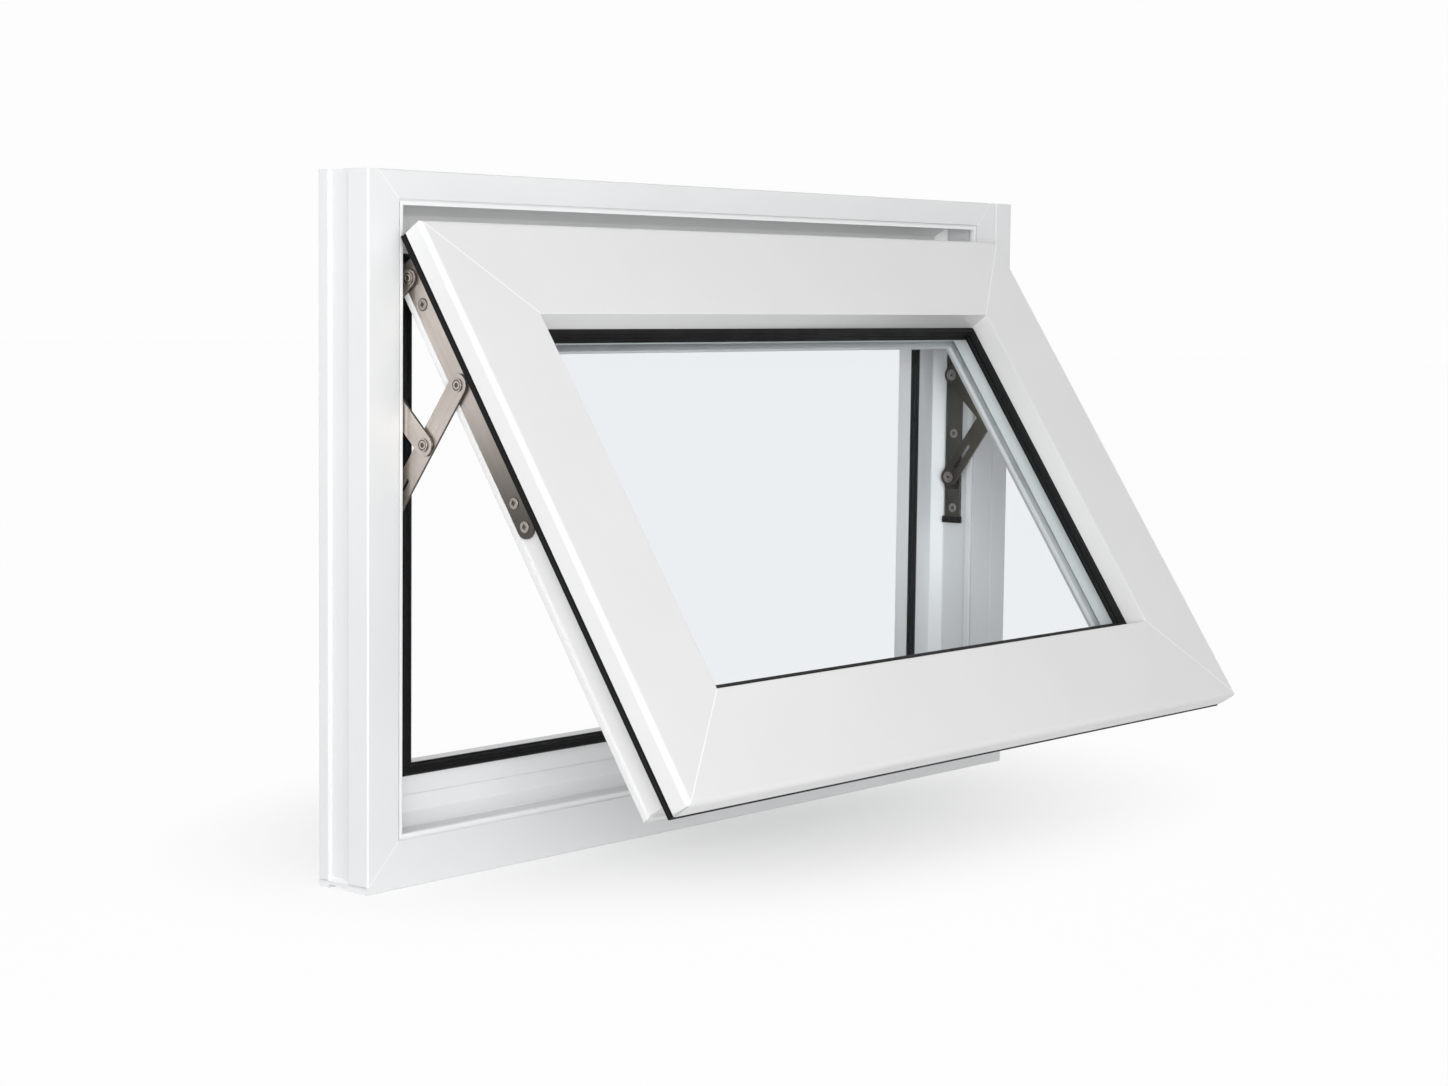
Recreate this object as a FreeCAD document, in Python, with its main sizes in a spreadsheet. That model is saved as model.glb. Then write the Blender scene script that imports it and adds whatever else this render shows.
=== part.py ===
import FreeCAD, Part
import math
import os

import Sketcher

# Top hung awning window, shown open on its side stays.
# X runs along the window, -Y is the outside, Z is up, sizes are in millimetres.
# The origin lies on the underside of the sill, in the middle of its front foot.

os.makedirs("parts", exist_ok=True)
document = FreeCAD.newDocument("awning_window")
sheet = document.addObject("Spreadsheet::Sheet", "Sizes")
Vector = FreeCAD.Vector


class Size:
    """A number together with the sheet expression that it comes from."""

    def __init__(self, value, text):
        self.value = float(value)
        self.text = text

    def combine(self, other, sign, value):
        return Size(value, "(" + self.text + " " + sign + " " + as_size(other).text + ")")

    def __add__(self, other):
        return self.combine(other, "+", self.value + as_size(other).value)

    def __radd__(self, other):
        return as_size(other) + self

    def __sub__(self, other):
        return self.combine(other, "-", self.value - as_size(other).value)

    def __rsub__(self, other):
        return as_size(other) - self

    def __mul__(self, other):
        return self.combine(other, "*", self.value * as_size(other).value)

    def __rmul__(self, other):
        return as_size(other) * self

    def __truediv__(self, other):
        return self.combine(other, "/", self.value / as_size(other).value)

    def __neg__(self):
        return Size(-self.value, "(-1 * " + self.text + ")")


def as_size(value):
    if isinstance(value, Size):
        return value
    return Size(value, "(" + format(float(value), "g") + ")" if value < 0 else format(float(value), "g"))


def sine(angle):
    return Size(math.sin(math.radians(angle.value)), "sin(" + angle.text + ")")


def cosine(angle):
    return Size(math.cos(math.radians(angle.value)), "cos(" + angle.text + ")")


def length_of(across, along):
    text = "sqrt(" + across.text + " ^ 2 + " + along.text + " ^ 2)"
    return Size(math.hypot(across.value, along.value), text)


def heading_of(across, along):
    text = "atan2(" + across.text + "; " + along.text + ")"
    return Size(math.degrees(math.atan2(across.value, along.value)), text)


# Every settable size, written once

sizes = {}
rows = [
    ("window_width", 905, "outer width of the mitred frame"),
    ("window_height", 600, "outer height of the mitred frame"),
    ("frame_depth", 60, "front face to rear face"),
    ("front_foot", 24, "depth of the foot in front of the outer channel"),
    ("rear_foot", 12, "depth of the foot behind the outer channel"),
    ("channel_depth", 3, "depth of the channel round the outside"),
    ("channel_step", 0.8, "height of the small step in the channel"),
    ("step_width", 7, "depth of the small step in the channel"),
    ("head_face", 24, "flat width of the front face of the head"),
    ("jamb_face", 35, "flat width of the front face of the jambs"),
    ("sill_face", 41, "flat width of the front face of the sill"),
    ("bead_groove", 1.5, "width of the groove between the face and its bead"),
    ("groove_depth", 2, "depth of the groove between the face and its bead"),
    ("bead_setback", 0.5, "front of the bead behind the face"),
    ("lip_width", 5, "face to the edge of the front opening"),
    ("lip_depth", 6, "depth of the lip round the front opening"),
    ("floor_rise", 1.5, "face to the floor that carries the stays"),
    ("slope_start", 36, "front to the start of the rebate slope"),
    ("slope_rise", 10, "floor to the top of the rebate slope"),
    ("recess_rise", 26, "floor to the top of the recess in the upstand"),
    ("recess_depth", 3, "depth of the recess in the upstand"),
    ("recess_slant", 1.5, "slant at the top of the recess"),
    ("upstand_front", 44, "front to the face of the rear upstand"),
    ("upstand_rise", 55, "face to the inner edge of the upstand"),
    ("frame_rounding", 3, "rounding of the outer front edge"),
    ("gasket_width", 11, "width of the upstand gasket"),
    ("gasket_height", 5.5, "height of the upstand gasket"),
    ("gasket_chamfer", 2.5, "chamfer of the upstand gasket"),
    ("extension_width", 30, "width of the extension profile"),
    ("extension_setback", 0.6, "front of the extension behind the frame"),
    ("sash_overlap", 6.5, "cover of the flange over the front opening"),
    ("flange_depth", 20, "thickness of the sash flange"),
    ("sash_depth", 62, "front to back of the sash"),
    ("sash_face", 92, "outer edge to the inner edge of the sash face"),
    ("flange_rounding", 5, "rounding of the flange"),
    ("body_inset", 16, "flange edge to the side of the sash body"),
    ("ridge_height", 2, "height of the ridge beside the sash bar"),
    ("ridge_depth", 6, "depth of the ridge beside the sash bar"),
    ("rebate_inset", 84, "flange edge to the glazing rebate"),
    ("reveal_depth", 18, "depth of the splayed reveal round the glass"),
    ("reveal_splay", 4, "widening of the splayed reveal"),
    ("leg_back", 22, "front to the back of the glazing leg"),
    ("glazing_gasket", 9, "width and depth of the glazing gasket"),
    ("glass_unit", 24, "thickness of the sealed glass unit"),
    ("pane", 4, "thickness of one pane"),
    ("glass_clearance", 2, "rebate to the edge of the glass"),
    ("spacer_width", 8, "width of the spacer in the glass unit"),
    ("glazing_bead", 15, "width of the glazing bead"),
    ("bead_slope", 7, "width of the slope on the glazing bead"),
    ("bead_nose", 4, "thickness of the glazing bead at its edge"),
    ("seal_depth", 7, "thickness of the seal behind the flange"),
    ("seal_width", 7.5, "width of the seal behind the flange"),
    ("opening_angle", 33.5, "angle of the sash from upright"),
    ("sash_forward", 24, "top front edge of the sash ahead of the frame"),
    ("sash_drop", 40, "top front edge of the sash below the frame top"),
    ("stay_line", 24, "front of the frame to the middle of the track"),
    ("track_width", 20, "width of the stay track"),
    ("track_height", 2.5, "height of the stay track"),
    ("track_base", 1.2, "thickness of the track base"),
    ("track_drop", 48, "top of the frame to the upper end of the track"),
    ("track_length", 284, "length of the track"),
    ("cap_length", 7, "length of the end cap"),
    ("cap_height", 5, "height of the end cap"),
    ("bar_width", 18, "width of the sash bar"),
    ("bar_line", 46, "front of the sash to the middle of the sash bar"),
    ("bar_top", 14, "upper end of the sash bar down the sash"),
    ("bar_length", 262, "length of the sash bar"),
    ("plate", 2.5, "thickness of the stay plates"),
    ("washer", 0.5, "gap between two stay plates, filled by a washer"),
    ("arm_width", 19, "width of the arms"),
    ("link_width", 15, "width of the top link"),
    ("pivot_rise", 42, "lower end of the track to the lower pivot"),
    ("brace_rise", 108, "lower pivot to the brace pivot"),
    ("link_rise", 72, "brace pivot to the pivot of the top link"),
    ("arm_reach", 132, "sash top to the pivot of the long arm"),
    ("link_reach", 28, "sash top to the pivot of the top link"),
    ("brace_share", 0.56, "place of the brace pivot along the long arm"),
    ("slot_start", 13, "lower pivot to the start of the slot"),
    ("slot_length", 28, "length of the slot in the long arm"),
    ("slot_width", 4, "width of the slot in the long arm"),
    ("rivet", 5.6, "radius of a rivet head"),
    ("rivet_height", 1.2, "height of a rivet head"),
    ("block_length", 26, "length of a block under a pivot"),
    ("block_width", 14, "width of a block under a pivot"),
    ("screw", 4.8, "radius of a screw head"),
    ("screw_height", 0.8, "height of a screw head"),
]
for number, (name, value, meaning) in enumerate(rows, start=1):
    sheet.set("A" + str(number), meaning)
    sheet.set("B" + str(number), str(value))
    sheet.setAlias("B" + str(number), name)
    sizes[name] = Size(value, "Sizes." + name)
document.recompute()


def size(name):
    return sizes[name]


# Sketches, pads and pockets


def plane_of(body, role):
    return [item for item in body.Origin.OriginFeatures if item.Role == role][0]


def new_sketch(body, name, role, lift=None):
    sketch = body.newObject("Sketcher::SketchObject", name)
    sketch.AttachmentSupport = [(plane_of(body, role), "")]
    sketch.MapMode = "FlatFace"
    if lift is not None:
        sketch.AttachmentOffset = FreeCAD.Placement(Vector(0, 0, lift.value), FreeCAD.Rotation())
        sketch.setExpression("AttachmentOffset.Base.z", lift.text)
    return sketch


def hold(sketch, kind, geometry, point, distance):
    distance = as_size(distance)
    index = sketch.addConstraint(Sketcher.Constraint(kind, -1, 1, geometry, point, distance.value))
    if "Sizes." in distance.text:
        sketch.setExpression("Constraints[" + str(index) + "]", distance.text)


def arc_between(first, second, radius):
    """Quarter arc, counter-clockwise from first to second for a positive radius."""
    start, end = (first, second) if radius > 0 else (second, first)
    middle = Vector((start[0] + end[0]) / 2, (start[1] + end[1]) / 2, 0)
    chord = Vector(end[0] - start[0], end[1] - start[1], 0)
    offset = math.sqrt(max(radius ** 2 - (chord.Length / 2) ** 2, 0))
    centre = middle + Vector(-chord.y, chord.x, 0).normalize() * offset
    angles = [math.atan2(point[1] - centre.y, point[0] - centre.x) for point in (start, end)]
    if angles[1] < angles[0]:
        angles[1] += 2 * math.pi
    return Part.ArcOfCircle(Part.Circle(centre, Vector(0, 0, 1), abs(radius)), *angles)


def draw_outline(sketch, corners):
    """Closed outline; a third entry in a corner rounds the way to the next one."""
    corners = [tuple(as_size(entry) for entry in corner) for corner in corners]
    first_index = sketch.GeometryCount
    ends = []
    for place, corner in enumerate(corners):
        following = corners[(place + 1) % len(corners)]
        first = (corner[0].value, corner[1].value)
        second = (following[0].value, following[1].value)
        if len(corner) == 3:
            sketch.addGeometry(arc_between(first, second, corner[2].value), False)
            ends.append((1, 2) if corner[2].value > 0 else (2, 1))
        else:
            sketch.addGeometry(Part.LineSegment(Vector(*first, 0), Vector(*second, 0)), False)
            ends.append((1, 2))
    for place, corner in enumerate(corners):
        index = first_index + place
        following = (place + 1) % len(corners)
        joined = Sketcher.Constraint(
            "Coincident", index, ends[place][1], first_index + following, ends[following][0])
        sketch.addConstraint(joined)
        hold(sketch, "DistanceX", index, ends[place][0], corner[0])
        hold(sketch, "DistanceY", index, ends[place][0], corner[1])
        if len(corner) == 3:
            radius = corner[2] if corner[2].value > 0 else -corner[2]
            bound = sketch.addConstraint(Sketcher.Constraint("Radius", index, radius.value))
            if "Sizes." in radius.text:
                sketch.setExpression("Constraints[" + str(bound) + "]", radius.text)


def draw_circle(sketch, across, along, radius):
    across, along = as_size(across), as_size(along)
    centre = Vector(across.value, along.value, 0)
    index = sketch.addGeometry(Part.Circle(centre, Vector(0, 0, 1), radius.value), False)
    bound = sketch.addConstraint(Sketcher.Constraint("Radius", index, radius.value))
    sketch.setExpression("Constraints[" + str(bound) + "]", radius.text)
    hold(sketch, "DistanceX", index, 3, across)
    hold(sketch, "DistanceY", index, 3, along)


def pad(body, sketch, length, side="One side", reversed_way=False):
    feature = body.newObject("PartDesign::Pad", sketch.Name + "_pad")
    feature.Profile = sketch
    feature.SideType = side
    feature.Reversed = reversed_way
    feature.Length = length.value
    feature.setExpression("Length", length.text)
    return feature


def pocket_through(body, sketch):
    feature = body.newObject("PartDesign::Pocket", sketch.Name + "_pocket")
    feature.Profile = sketch
    feature.SideType = "Symmetric"
    feature.Type = "ThroughAll"
    return feature


def box_corners(left, right, low, high):
    return [(left, low), (right, low), (right, high), (left, high)]


def slot_corners(half, low, high):
    """Upright slot round the pivots at low and high, with quarter rounds."""
    return [
        (-half, low, half), (0, low - half, half), (half, low),
        (half, high, half), (0, high + half, half), (-half, high),
    ]


# Places, as sheet expressions


def place(across, depth, height, axis="vector(0; 1; 0)", turn="0"):
    spot = "vector(" + "; ".join(as_size(entry).text for entry in (across, depth, height)) + ")"
    return "placement(" + spot + "; rotation(" + axis + "; " + turn + "))"


nodes = []


def new_body(name):
    body = document.addObject("PartDesign::Body", name)
    body.Label = name
    nodes.append(body)
    return body


width = size("window_width")
height = size("window_height")
angle = size("opening_angle")
frame_front = -(size("front_foot") / 2)
faces = (size("sill_face"), size("head_face"), size("jamb_face"))
margin = size("lip_width") - size("sash_overlap")
sash_width = width - 2 * (size("jamb_face") + margin)
sash_height = height - (size("sill_face") + size("head_face") + 2 * margin)
sash_y = frame_front - size("sash_forward")
sash_z = height - size("sash_drop")

frame_place = place(0, frame_front, height)
sash_place = place(0, sash_y, sash_z, "vector(1; 0; 0)", "-1 * " + angle.text)


# Rings of four mitred members


def mitred_member(name, section, length, reach, member_place, offsets):
    """One member along X, its section drawn as depth and distance from the outside."""
    body = new_body(name)
    sketch = new_sketch(body, name + "_section", "YZ_Plane")
    draw_outline(sketch, section)
    pad(body, sketch, length, "Symmetric")
    mitre = new_sketch(body, name + "_mitre", "XZ_Plane")
    beyond = length / 2 + reach
    top = reach + 1
    for sign, offset in zip((-1, 1), offsets):
        edge = length / 2 - offset
        draw_outline(mitre, [
            (beyond * sign, -1), ((edge + 1) * sign, -1), ((edge - top) * sign, top), (beyond * sign, top)])
    pocket_through(body, mitre)
    body.setExpression("Placement", member_place)
    return body


def mitred_ring(names, section, across, upright, rise, carrier, widths=None):
    """Bottom, top, left and right members, measured from the top of the ring.

    Where the widths of the bottom, top and sides differ, the section is a function
    of the width, and each mitre starts from the inner corner.
    """
    bottom, top, side = widths or (as_size(0), as_size(0), as_size(0))
    half_across = across / 2
    half_down = -(upright / 2)
    members = [
        (bottom, side, side, across, place(0, 0, -upright)),
        (top, side, side, across, place(0, 0, 0, turn="180")),
        (side, top, bottom, upright, place(-half_across, 0, half_down, turn="90")),
        (side, bottom, top, upright, place(half_across, 0, half_down, turn="-90")),
    ]
    for name, (own, before, after, length, spot) in zip(names, members):
        corners = section(own) if widths else section
        offsets = (before - own, after - own)
        mitred_member(name, corners, length, own + rise, carrier + " * " + spot, offsets)


# Frame: stepped profile with an outer channel, a bead and a rear upstand

depth = size("frame_depth")
foot = size("front_foot")
channel = size("channel_depth")
step_top = channel - size("channel_step")
step_end = foot + size("step_width")
rear_start = depth - size("rear_foot")
round_off = size("frame_rounding")
upstand = size("upstand_front")
recess = upstand + size("recess_depth")
rise = size("upstand_rise")


def frame_section(face):
    land = face + size("lip_width")
    floor = face + size("floor_rise")
    groove_end = face + size("bead_groove")
    recess_top = floor + size("recess_rise")
    return [
        (round_off, 0),
        (foot, 0),
        (foot, step_top),
        (step_end, step_top),
        (step_end, channel),
        (rear_start, channel),
        (rear_start, 0),
        (depth, 0),
        (depth, face + rise),
        (upstand, face + rise),
        (upstand, recess_top),
        (recess, recess_top - size("recess_slant")),
        (recess, floor + size("slope_rise")),
        (size("slope_start"), floor),
        (size("lip_depth") + 1, floor),
        (size("lip_depth"), land),
        (size("bead_setback"), land),
        (size("bead_setback"), groove_end),
        (size("groove_depth"), groove_end),
        (size("groove_depth"), face),
        (0, face),
        (0, round_off, round_off),
    ]


frame_names = ("frame_sill", "frame_head", "frame_left_jamb", "frame_right_jamb")
mitred_ring(frame_names, frame_section, width, height, rise, frame_place, faces)

gasket_front = upstand - size("gasket_height")
chamfer = size("gasket_chamfer")


def gasket_section(face):
    top = face + rise
    low = top - size("gasket_width")
    return [
        (gasket_front + chamfer, low),
        (upstand, low),
        (upstand, top),
        (gasket_front + chamfer, top),
        (gasket_front, top - chamfer),
        (gasket_front, low + chamfer),
    ]


gasket_names = (
    "frame_gasket_bottom", "frame_gasket_top", "frame_gasket_left", "frame_gasket_right")
mitred_ring(gasket_names, gasket_section, width, height, rise, frame_place, faces)

# Extension profile beside the right jamb

extension = new_body("extension_profile")
extension_sketch = new_sketch(extension, "extension_section", "XY_Plane")
set_back = size("extension_setback")
outer = size("extension_width")
draw_outline(extension_sketch, [
    (1, set_back),
    (outer - round_off, set_back, round_off),
    (outer, set_back + round_off),
    (outer, size("front_foot")),
    (outer - channel, size("front_foot")),
    (outer - channel, rear_start),
    (outer, rear_start),
    (outer, depth),
    (0, depth),
    (0, set_back + 1),
])
pad(extension, extension_sketch, height)
extension.setExpression("Placement", place(width / 2, frame_front, 0))

# Sash: rounded flange, body with a ridge beside the bar, splayed reveal and rebate

flange = size("flange_depth")
inset = size("body_inset")
sash_depth = size("sash_depth")
rebate = size("rebate_inset")
curve = size("flange_rounding")
reveal_edge = size("sash_face") + size("reveal_splay")
ridge_start = sash_depth - size("ridge_depth")
sash_section = [
    (curve, 0),
    (flange - 1, 0),
    (flange, 1),
    (flange, inset),
    (ridge_start, inset),
    (ridge_start, inset - size("ridge_height")),
    (sash_depth, inset - size("ridge_height")),
    (sash_depth, rebate),
    (size("leg_back"), rebate),
    (size("leg_back"), reveal_edge),
    (size("reveal_depth"), reveal_edge),
    (0, size("sash_face")),
    (0, curve, curve),
]
sash_names = ("sash_bottom_rail", "sash_top_rail", "sash_left_stile", "sash_right_stile")
mitred_ring(sash_names, sash_section, sash_width, sash_height, reveal_edge, sash_place)

seal_back = flange + size("seal_depth")
seal_edge = 0.5 + size("seal_width")
seal_section = [
    (flange, 1.5),
    (seal_back - 1, 0.5),
    (seal_back, 1.5),
    (seal_back, seal_edge - 1),
    (seal_back - 1, seal_edge),
    (flange, seal_edge),
]
seal_names = ("sash_seal_bottom", "sash_seal_top", "sash_seal_left", "sash_seal_right")
mitred_ring(seal_names, seal_section, sash_width, sash_height, seal_edge, sash_place)

# Glazing: gasket, two panes round a spacer, and the beads behind

gasket_start = size("reveal_depth")
glass_front = gasket_start + size("glazing_gasket")
glass_back = glass_front + size("glass_unit")
bead_edge = rebate + size("glazing_bead")
bead_section = [
    (glass_back, rebate),
    (sash_depth, rebate),
    (sash_depth, bead_edge - size("bead_slope")),
    (glass_back + size("bead_nose"), bead_edge),
    (glass_back, bead_edge),
]
bead_names = (
    "glazing_bead_bottom", "glazing_bead_top", "glazing_bead_left", "glazing_bead_right")
mitred_ring(bead_names, bead_section, sash_width, sash_height, bead_edge, sash_place)


def sash_slab(name, edge, start, thickness, hole_edge=None):
    """Flat piece in the sash, its edge measured from the outside of the flange."""
    body = new_body(name)
    sketch = new_sketch(body, name + "_outline", "XZ_Plane")
    half = sash_width / 2 - edge
    draw_outline(sketch, box_corners(-half, half, edge - sash_height, -edge))
    if hole_edge is not None:
        hole = sash_width / 2 - hole_edge
        draw_outline(sketch, box_corners(-hole, hole, hole_edge - sash_height, -hole_edge))
    pad(body, sketch, thickness, reversed_way=True)
    body.setExpression("Placement", sash_place + " * " + place(0, start, 0))
    return body


glass_edge = rebate + size("glass_clearance")
pane = size("pane")
sash_slab("glazing_gasket", reveal_edge, gasket_start, size("glazing_gasket"),
          reveal_edge + size("glazing_gasket"))
sash_slab("outer_pane", glass_edge, glass_front, pane)
sash_slab("inner_pane", glass_edge, glass_back - pane, pane)
sash_slab("glass_spacer", glass_edge, glass_front + pane, size("glass_unit") - 2 * pane,
          glass_edge + size("spacer_width"))

# Stays: four-bar linkage on each side, all pivots in the plane of the side

plate = size("plate")
washer = size("washer")
stay_y = frame_front + size("stay_line")
body_side = sash_width / 2 - inset
floor_side = width / 2 - size("jamb_face") - size("floor_rise")


def on_bar(reach):
    """Depth and height of a point on the middle of the sash bar."""
    along = size("bar_line")
    point_y = sash_y - sine(angle) * reach + cosine(angle) * along
    point_z = sash_z - cosine(angle) * reach - sine(angle) * along
    return point_y, point_z


arm_top = on_bar(size("arm_reach"))
link_top = on_bar(size("link_reach"))
track_bottom = height - size("track_drop") - size("track_length")
arm_foot = (stay_y, track_bottom + size("pivot_rise"))
brace_head = (stay_y, arm_foot[1] + size("brace_rise"))
link_foot = (stay_y, brace_head[1] + size("link_rise"))
share = size("brace_share")
brace_foot = (
    arm_foot[0] + (arm_top[0] - arm_foot[0]) * share,
    arm_foot[1] + (arm_top[1] - arm_foot[1]) * share,
)

layer_bar = body_side
layer_arm = layer_bar + plate + washer
layer_brace = layer_arm + plate + washer
track_top = floor_side - size("track_height")


class Side:
    """One side of the window; lengths across it are turned the right way."""

    def __init__(self, name, sign):
        self.name = name
        self.sign = sign

    def across(self, distance):
        return distance * self.sign

    def stack(self, body, sketch, length):
        return pad(body, sketch, length, reversed_way=self.sign < 0)

    def disc(self, body, name, spot, radius, start, length):
        sketch = new_sketch(body, name, "YZ_Plane", self.across(start))
        draw_circle(sketch, spot[0], spot[1], radius)
        self.stack(body, sketch, length)

    def arm(self, name, foot, head, across_size, layer):
        """Arm with rounded ends from the pivot foot to the pivot head."""
        full_name = self.name + "_stay_" + name
        body = new_body(full_name)
        reach = length_of(head[0] - foot[0], head[1] - foot[1])
        heading = heading_of(foot[0] - head[0], head[1] - foot[1])
        sketch = new_sketch(body, full_name + "_outline", "YZ_Plane")
        draw_outline(sketch, slot_corners(across_size / 2, as_size(0), reach))
        self.stack(body, sketch, plate)
        spot = place(self.across(layer), foot[0], foot[1], "vector(1; 0; 0)", heading.text)
        body.setExpression("Placement", spot)
        return body, reach


def build_track(side):
    """Channel on the jamb, with its end cap."""
    half = size("track_width") / 2
    lip = size("track_base")
    high = size("track_height")
    name = side.name + "_stay_track"
    body = new_body(name)
    sketch = new_sketch(body, name + "_section", "XY_Plane")
    inward = -side.sign
    corners = [
        (0, -half), (high, -half), (high, lip - half), (lip, lip - half),
        (lip, half - lip), (high, half - lip), (high, half), (0, half),
    ]
    draw_outline(sketch, [(as_size(x) * inward, y) for x, y in corners])
    pad(body, sketch, size("track_length"))
    base = side.across(floor_side)
    body.setExpression("Placement", place(base, stay_y, track_bottom))

    name = side.name + "_stay_end_cap"
    cap = new_body(name)
    sketch = new_sketch(cap, name + "_section", "XY_Plane")
    wide = half + 1
    tall = as_size(inward) * size("cap_height")
    draw_outline(sketch, box_corners(0, tall, -wide, wide))
    pad(cap, sketch, size("cap_length"), reversed_way=True)
    cap.setExpression("Placement", place(base, stay_y, track_bottom))


def build_block(side, name, pivot, near):
    """Block between the track and the plate that turns on it."""
    full_name = side.name + "_stay_" + name
    body = new_body(full_name)
    sketch = new_sketch(body, full_name + "_outline", "YZ_Plane")
    half_wide = size("block_width") / 2
    half_long = size("block_length") / 2
    draw_outline(sketch, box_corners(-half_wide, half_wide, -half_long, half_long))
    base = floor_side - size("track_base")
    side.stack(body, sketch, base - near)
    body.setExpression("Placement", place(side.across(near), pivot[0], pivot[1]))


def build_sash_bar(side):
    """Bar on the side of the sash, with a rounded lower end and screw heads."""
    name = side.name + "_stay_sash_bar"
    body = new_body(name)
    sketch = new_sketch(body, name + "_outline", "YZ_Plane")
    half = size("bar_width") / 2
    low = half - size("bar_length")
    draw_outline(sketch, [
        (-half, low, half), (0, low - half, half), (half, low), (half, 0), (-half, 0)])
    side.stack(body, sketch, plate)
    spots = (("first", 40), ("second", size("bar_length") - 32), ("third", size("bar_length") - 10))
    for label, down in spots:
        spot = (0, -as_size(down))
        side.disc(body, name + "_screw_" + label, spot, size("screw"), plate, size("screw_height"))
    across = side.across(layer_bar)
    spot = place(across, size("bar_line"), -size("bar_top"))
    body.setExpression("Placement", sash_place + " * " + spot)


def build_long_arm(side):
    """Long arm with its slot, washers and rivet heads."""
    body, reach = side.arm("long_arm", arm_foot, arm_top, size("arm_width"), layer_arm)
    name = body.Name
    slot = new_sketch(body, name + "_slot", "YZ_Plane")
    start = size("slot_start")
    draw_outline(slot, slot_corners(size("slot_width") / 2, start, start + size("slot_length")))
    pocket_through(body, slot)
    top, middle = (0, reach), (0, reach * share)
    radius = size("rivet")
    side.disc(body, name + "_top_rivet", top, radius, plate, size("rivet_height"))
    side.disc(body, name + "_top_washer", top, radius, -washer, washer)
    side.disc(body, name + "_brace_washer", middle, radius, plate, washer)
    inner = -size("rivet_height")
    side.disc(body, name + "_foot_rivet", (0, 0), radius, inner, size("rivet_height"))


def build_brace(side):
    """Brace between the long arm and the track."""
    body, reach = side.arm("brace_arm", brace_foot, brace_head, size("arm_width"), layer_brace)
    name = body.Name
    side.disc(body, name + "_rivet", (0, 0), size("rivet"), plate, size("rivet_height"))
    inner = -size("rivet_height")
    side.disc(body, name + "_head_rivet", (0, reach), size("rivet"), inner, size("rivet_height"))


def build_top_link(side):
    """Short link between the top of the sash bar and the track."""
    body, reach = side.arm("top_link", link_top, link_foot, size("link_width"), layer_arm)
    name = body.Name
    side.disc(body, name + "_washer", (0, 0), size("rivet"), -washer, washer)
    side.disc(body, name + "_rivet", (0, 0), size("rivet"), plate, size("rivet_height"))


for stay_side in (Side("left", -1), Side("right", 1)):
    build_track(stay_side)
    build_sash_bar(stay_side)
    build_long_arm(stay_side)
    build_brace(stay_side)
    build_top_link(stay_side)
    build_block(stay_side, "lower_shoe", arm_foot, layer_arm + plate)
    build_block(stay_side, "brace_shoe", brace_head, layer_brace + plate)
    build_block(stay_side, "top_block", link_foot, layer_arm + plate)

# Recompute, check and write every node

document.recompute()
for item in document.Objects:
    if "Invalid" in item.State or "Error" in item.State:
        raise RuntimeError(item.Name + " is " + str(item.State))
for body in nodes:
    shape = body.Shape
    if shape.isNull() or not shape.isValid():
        raise RuntimeError(body.Label + " has no valid shape")
    shape.exportStep("parts/" + body.Label + ".step")
    box = shape.BoundBox
    print(body.Label, round(shape.Volume), [round(v, 1) for v in (
        box.XMin, box.XMax, box.YMin, box.YMax, box.ZMin, box.ZMax)])
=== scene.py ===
import functools
import logging
import math
from contextlib import contextmanager
from dataclasses import dataclass
from enum import Enum
from typing import Callable, Iterator, Sequence

import bmesh
import bpy
from mathutils import Matrix, Vector


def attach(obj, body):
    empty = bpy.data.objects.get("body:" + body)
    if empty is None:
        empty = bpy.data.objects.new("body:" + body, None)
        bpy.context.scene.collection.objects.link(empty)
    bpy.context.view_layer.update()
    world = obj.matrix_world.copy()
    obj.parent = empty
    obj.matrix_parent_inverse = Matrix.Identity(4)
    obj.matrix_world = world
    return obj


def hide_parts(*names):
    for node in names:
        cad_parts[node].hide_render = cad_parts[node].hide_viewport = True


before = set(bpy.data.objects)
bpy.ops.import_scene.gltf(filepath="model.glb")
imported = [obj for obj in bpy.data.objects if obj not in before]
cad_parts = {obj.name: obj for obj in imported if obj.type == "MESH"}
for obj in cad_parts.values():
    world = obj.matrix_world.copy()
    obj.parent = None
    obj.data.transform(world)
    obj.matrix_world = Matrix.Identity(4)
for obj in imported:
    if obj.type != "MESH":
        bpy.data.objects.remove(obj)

logging.basicConfig(level=logging.INFO, format="%(message)s")
log = logging.getLogger("awning_window")

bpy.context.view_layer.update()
BODY = "root"
MM = 0.001
SAME = 1e-6

Colour = tuple[float, float, float]
Corner = tuple[float, float, float]
Test = Callable[[Vector, Vector], bool]
Section = Callable[[float], Sequence[Corner]]


class Pick(Enum):
    """What an edit-mode selection picks."""

    FACE = "FACE"
    EDGE = "EDGE"
    VERT = "VERT"


class Side(Enum):
    """Side of the window that a stay is on, seen from outside."""

    LEFT = -1
    RIGHT = 1

    @property
    def label(self) -> str:
        """Word that piece and node names begin with."""
        return self.name.lower()


# Shader maths


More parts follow.
